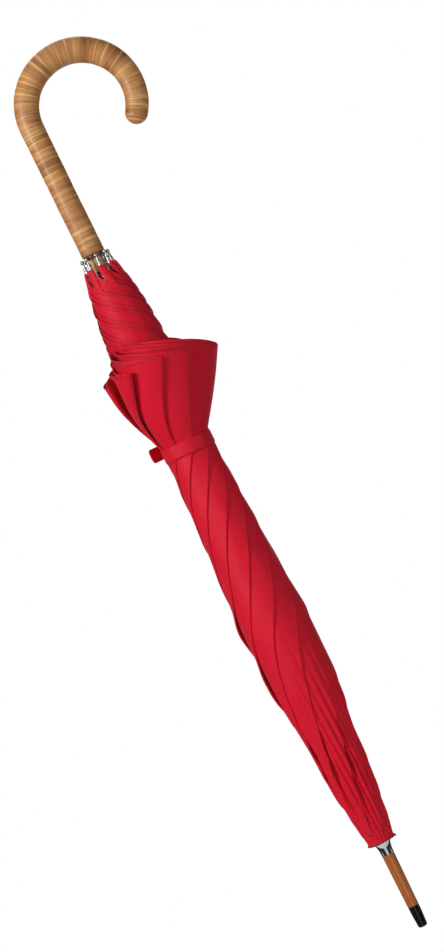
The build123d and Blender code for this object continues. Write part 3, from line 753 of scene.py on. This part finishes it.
def build_pocket(k):
    """Small sewn pocket in the hem that the rib's tip is pushed into."""
    width, low, high, thick = 8.2, 671.0, 697.8, 1.5
    slant = 5.0
    outline = ((671, 19.9), (678, 19.8), (687, 17.7), (697.8, 15.4))
    radial = unit_radial(rib_azimuth(k))
    tangent = Vector((-radial.y, radial.x, 0))
    rows, cols = 26, 20
    verts, uvs = [], []
    for j in range(rows):
        share = j / (rows - 1)
        z = low + (high - low) * share
        crown = math.sqrt(max(0.0, 1 - max(0.0, (share - 0.86) / 0.14) ** 2))
        half = width / 2 * (0.72 + 0.28 * ease(share / 0.6)) * max(crown, 0.05)
        centre = float(through(outline, z))
        for i in range(cols):
            a = 2 * math.pi * i / cols
            x = math.copysign(abs(math.cos(a)) ** 0.75, math.cos(a)) * half
            wave = 0.3 * noise.noise(Vector((k * 7.0, z * 0.11, i * 0.3)))
            out = math.sin(a) * thick * (0.25 + 0.75 * crown) + wave - (x * x) / 34
            aside = x + slant * (1 - share) ** 1.5
            verts.append((radial * (centre + out) + tangent * aside + Vector((0, 0, z))) * MM)
            uvs.append((i / cols * 0.02, z * MM))
    faces = closed_tube_faces(rows, cols)
    pocket = new_object(f"rib_pocket_{k}", verts, faces, uvs, [CLOTH])
    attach(pocket, f"rib_{k}")


# (radius, height) in millimetres: a ferrule on the rib, a waist and a ball
TIP_PROFILE = (
    (0.4, 693.0), (1.85, 693.2), (2.1, 694.4), (2.1, 698.4), (1.95, 698.8), (1.95, 699.3), (2.05, 699.7),
    (1.98, 700.6), (1.8, 701.6), (1.5, 702.6),
    (1.25, 704.0), (1.1, 705.2), (1.05, 705.8), (1.3, 706.3), (1.62, 707.0), (1.78, 707.9), (1.66, 708.8),
    (1.25, 709.5), (0.6, 709.85), (0.08, 709.95),
)


def build_tip(k):
    """Turned metal end of a rib."""
    low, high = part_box(f"rib_tip_{k}")
    centre = ((low.x + high.x) / 2, (low.y + high.y) / 2)
    tip = lathe(f"rib_tip_turned_{k}", [(r * MM, z * MM) for r, z in TIP_PROFILE], centre, NICKEL, 28)
    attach(tip, f"rib_{k}")
    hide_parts(f"rib_tip_{k}")


def build_crown():
    """Cloth gathered tight below the ribs' roots, with a frayed edge on the cap."""
    profile = (
        (89.8, 13.9), (90.3, 13.6), (91.1, 13.2), (92.2, 12.9), (93.4, 12.9), (94.8, 13.1), (96.4, 13.4),
        (98.2, 13.7), (100.0, 14.0), (102.0, 14.0), (104.0, 13.6),
    )
    segments = 216
    frayed_rows = 3
    tuft_deg, tuft_half_width = 352, 9
    verts, uvs = [], []
    for j, (z, r) in enumerate(profile):
        free = max(frayed_rows - j, 0) / frayed_rows
        for i in range(segments):
            a = 2 * math.pi * i / segments
            fray = 0.0
            lower = 0.0
            if free > 0:
                fray = 0.55 * noise.noise(Vector((9 * math.cos(a), 9 * math.sin(a), j * 0.4)))
                lower = 1.1 * free * noise.noise(Vector((14 * math.cos(a), 14 * math.sin(a), 4.0)))
                if abs(math.degrees(a) - tuft_deg) < tuft_half_width:
                    fray += 0.9 * free
            radius = r + pleat(a, z) * (0.8 + 0.04 * j) + fray
            verts.append((radius * math.cos(a) * MM, radius * math.sin(a) * MM, (z + lower) * MM))
            uvs.append((a * r * MM, z * MM))
    faces = grid_faces(len(profile), segments, wrap=True)
    material_of_face = [1 if f[0] < 2 * segments else 0 for f in faces]
    crown = new_object("gathered_crown", verts, faces, uvs, [CLOTH, FRAYED], material_of_face)
    give_thickness(crown, 0.4 * MM)
    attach(crown, ROOT)
    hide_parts("canopy_crown")


BAND_RADIUS = 25.2
STRAP_WIDTH = 14.0
STITCH_ROW = 5.3         # distance of the strap's stitch rows from its middle line


def band_point(a, aside, out):
    """Point on the strap's band, in metres, at an angle, a distance from its middle line and one outwards."""
    over_ribs = 0.25 * math.sin(8 * (a - math.radians(rib_azimuth(1)) - 0.55))
    uneven = 0.15 * noise.noise(Vector((3 * math.cos(a), 3 * math.sin(a), aside / STRAP_WIDTH)))
    r = BAND_RADIUS + over_ribs + uneven + out
    z = STRAP_MIDDLE_Z + aside + 0.35 * math.sin(a * 2 + 1)
    return Vector((r * math.cos(a), r * math.sin(a), z)) * MM


def build_strap():
    """Band round the bundle with stitched edges, and its loose end with a press stud."""
    root = Vector(JOINTS["strap_tab_lift"]["pos_m"]) / MM
    thick = 0.6
    first, turn = math.atan2(root.y, root.x), math.radians(356.0)
    segments, across = 180, 9
    verts, uvs = [], []
    for i in range(segments + 1):
        a = first + turn * i / segments
        for j in range(across):
            v = j / (across - 1) - 0.5
            pinch = -0.35 * ease((abs(v) - 0.36) / 0.14)
            place = band_point(a, v * STRAP_WIDTH, pinch)
            verts.append(place)
            uvs.append((a * BAND_RADIUS * MM, place.z))
    band = new_object("strap_band_cloth", verts, grid_faces(segments + 1, across), uvs, [CLOTH])
    give_thickness(band, thick * MM)
    stitches, faces = [], []
    steps = int(turn * BAND_RADIUS / STITCH_PITCH)
    sunk = thick / 2 - 0.06
    for edge in (-1, 1):
        for i in range(steps):
            ends = []
            for share in (0.12, 0.12 + STITCH_LENGTH / STITCH_PITCH):
                a = first + turn * (i + share) / steps
                ends.append(band_point(a, edge * STITCH_ROW, sunk))
            out = Vector((ends[0].x, ends[0].y, 0)).normalized()
            add_stitch(stitches, faces, *ends, out, 0.45 * MM, 0.2 * MM)
    thread = new_object("strap_stitches", stitches, faces, None, [THREAD])
    for piece in (band, thread):
        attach(piece, "gore_4")
        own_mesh(piece)
    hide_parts("strap_band")
    build_tab(root)


def build_tab(root):
    """Loose end of the strap: doubled cloth with rounded corners, two rows of stitches and a press stud."""
    length, width, thick, corner_radius = 17.0, STRAP_WIDTH, 1.1, 3.2
    stand_off = 0.6
    ahead = unit_radial(218.0)
    face = Vector((ahead.y, -ahead.x, 0))
    middle = Vector((root.x, root.y, STRAP_MIDDLE_Z + 6.6))

    def bow(u):
        """How far the tab bends outwards at a distance from its root."""
        return 0.9 * math.sin(math.pi * u / length) - 0.5 * (u / length) ** 2

    cols, rows = 22, 14
    verts, uvs = [], []
    for i in range(cols):
        u = i / (cols - 1) * length
        inset = max(0.0, u - (length - corner_radius))
        half = width / 2 - corner_radius + math.sqrt(max(0.0, corner_radius ** 2 - inset ** 2))
        for j in range(rows):
            v = j / (rows - 1) * 2 - 1
            rim = -0.25 * ease((abs(v) - 0.7) / 0.25)
            place = middle + ahead * u + face * (bow(u) + rim + stand_off) + Vector((0, 0, v * half))
            verts.append(place * MM)
            uvs.append((u * MM, v * half * MM))
    tab = new_object("strap_tab_cloth", verts, grid_faces(cols, rows), uvs, [CLOTH])
    give_thickness(tab, thick * MM)
    stitches, faces = [], []
    sunk = thick / 2 - 0.08
    for side in (-1, 1):
        for edge in (-1, 1):
            row = middle + Vector((0, 0, edge * STITCH_ROW))
            for i in range(4):
                first = 1.2 + i * STITCH_PITCH
                ends = []
                for u in (first, first + STITCH_LENGTH):
                    ends.append((row + ahead * u + face * (bow(u) + stand_off + side * sunk)) * MM)
                add_stitch(stitches, faces, *ends, face * side, 0.45 * MM, 0.22 * MM)
    thread = new_object("tab_stitches", stitches, faces, None, [THREAD])
    # domed cap as (radius, height over the tab), from its middle to its underside
    stud_profile = (
        (0.2, 2.04), (1.7, 2.0), (2.7, 1.84), (3.5, 1.44), (3.95, 0.96), (4.05, 0.72), (4.0, 0.56),
        (3.2, 0.44), (0.2, 0.4),
    )
    segments = 36
    stud_verts = []
    centre = middle + ahead * (length - 6.5) + face * 1.35
    for r, height in stud_profile:
        for i in range(segments):
            a = 2 * math.pi * i / segments
            round_place = ahead * (r * math.cos(a)) + Vector((0, 0, r * math.sin(a)))
            stud_verts.append((centre + round_place + face * height) * MM)
    stud_faces = closed_tube_faces(len(stud_profile), segments)
    stud = new_object("press_stud_cap", stud_verts, stud_faces, None, [NICKEL])
    for piece, slot in ((tab, "canopy_cloth"), (thread, "canopy_cloth"), (stud, "stud_nickel")):
        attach(piece, "strap_tab")
    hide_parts("strap_tab")
    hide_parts("press_stud")


# ---------------------------------------------------------------- the rest

def paint_cad():
    """Materials of the CAD nodes that stay in view."""
    groups = {
        # dark brown here is painted shade of the gap under the handle's end
        "handle_collar": COLLAR_PAINTED_SHADE,
        "shaft": SHAFT_WOOD,
        "stop_pin": STEEL,
        "wooden_ferrule": FERRULE_WOOD,
        "ferrule_tip": BLACK,
        "ferrule_cap": CHROME,
        "top_notch": STEEL,
        "notch_wire": STEEL,
        "runner": CHROME,
        "runner_wire": STEEL,
        "hand_spring": SPRING,
        "top_spring": SPRING,
    }
    for k in RIBS:
        groups[f"rib_{k}"] = RIB_STEEL
        groups[f"stretcher_{k}"] = RIB_STEEL
        groups[f"elbow_pin_{k}"] = STEEL
    for node, material in groups.items():
        paint(node, material)


def build_stage():
    """Pale floor well below the hanging umbrella."""
    radius, height, segments = 0.7, -0.35, 96
    verts = []
    for i in range(segments):
        a = 2 * math.pi * i / segments
        verts.append((radius * math.cos(a), radius * math.sin(a), height))
    n = Nodes("pale_floor")
    cloud = n.noise(n.coords("Object"), 3, 2)
    tone = n.mix(cloud, (0.9, 0.9, 0.9, 1), (0.94, 0.94, 0.94, 1))
    material = n.set(Base_Color=tone, Roughness=0.9)
    floor = new_object("floor", verts, [tuple(range(segments))], None, [material], smooth_shade=False)


def build_light():
    """White surroundings with darker sides for the metal to reflect, and three large soft lamps."""
    aim = Vector((0, 0, 0.45))
    world = bpy.data.worlds.new("studio")
    bpy.context.scene.world = world
    world.use_nodes = True
    tree = world.node_tree
    lit = tree.nodes["Background"]
    lit.inputs["Strength"].default_value = 0.55
    where = tree.nodes.new("ShaderNodeTexCoord")
    parts = tree.nodes.new("ShaderNodeSeparateXYZ")
    tree.links.new(where.outputs["Generated"], parts.inputs[0])
    sideways = tree.nodes.new("ShaderNodeMath")
    sideways.operation = "ABSOLUTE"
    tree.links.new(parts.outputs["X"], sideways.inputs[0])
    # brightness from straight ahead (0) to straight sideways (1)
    panels = tree.nodes.new("ShaderNodeValToRGB")
    stops = ((0.0, 1.5), (0.3, 1.4), (0.4, 0.06), (0.93, 0.06), (0.98, 0.9))
    while len(panels.color_ramp.elements) < len(stops):
        panels.color_ramp.elements.new(0.5)
    for element, (position, value) in zip(panels.color_ramp.elements, stops):
        element.position = position
        element.color = (value, value, value, 1)
    tree.links.new(sideways.outputs[0], panels.inputs["Fac"])
    tree.links.new(panels.outputs["Color"], lit.inputs["Color"])
    seen = tree.nodes.new("ShaderNodeBackground")
    seen.inputs["Color"].default_value = (1, 1, 1, 1)
    seen.inputs["Strength"].default_value = 1.0
    path = tree.nodes.new("ShaderNodeLightPath")
    choose = tree.nodes.new("ShaderNodeMixShader")
    tree.links.new(path.outputs["Is Camera Ray"], choose.inputs[0])
    tree.links.new(lit.outputs[0], choose.inputs[1])
    tree.links.new(seen.outputs[0], choose.inputs[2])
    tree.links.new(choose.outputs[0], tree.nodes["World Output"].inputs["Surface"])
    for name, place, width, power in (
        ("key", (-1.6, -1.3, 1.3), 0.6, 40.0),
        ("fill", (1.7, -1.5, 0.5), 1.2, 9.0),
        ("back", (0.3, 1.6, 1.6), 1.2, 12.0),
    ):
        lamp = bpy.data.lights.new(name, "AREA")
        lamp.energy = power
        lamp.size = width
        obj = bpy.data.objects.new(name, lamp)
        obj.location = place
        obj.rotation_euler = (aim - Vector(place)).to_track_quat("-Z", "Y").to_euler()
        bpy.context.scene.collection.objects.link(obj)


def build_camera():
    """Level view along +Y, rolled so that the handle leans to the upper left."""
    roll = math.radians(26.15)
    middle = Vector((0.0167, 0, 0.468))
    shown_height, lens, sensor = 0.904, 100.0, 36.0
    data = bpy.data.cameras.new("camera")
    data.lens = lens
    data.sensor_fit = "VERTICAL"
    data.sensor_height = sensor
    camera = bpy.data.objects.new("camera", data)
    right = Vector((math.cos(roll), 0, -math.sin(roll)))
    up = Vector((math.sin(roll), 0, math.cos(roll)))
    towards = Vector((0, -1, 0))
    place = middle + towards * (shown_height * lens / sensor)
    camera.matrix_world = Matrix.Translation(place) @ Matrix((right, up, towards)).transposed().to_4x4()
    bpy.context.scene.collection.objects.link(camera)
    bpy.context.scene.camera = camera
    bpy.context.scene.view_settings.view_transform = "Standard"


build_camera()
build_light()
build_stage()
paint_cad()
build_handle()
build_canopy()
for k in RIBS:
    build_pocket(k)
    build_tip(k)
build_crown()
build_strap()
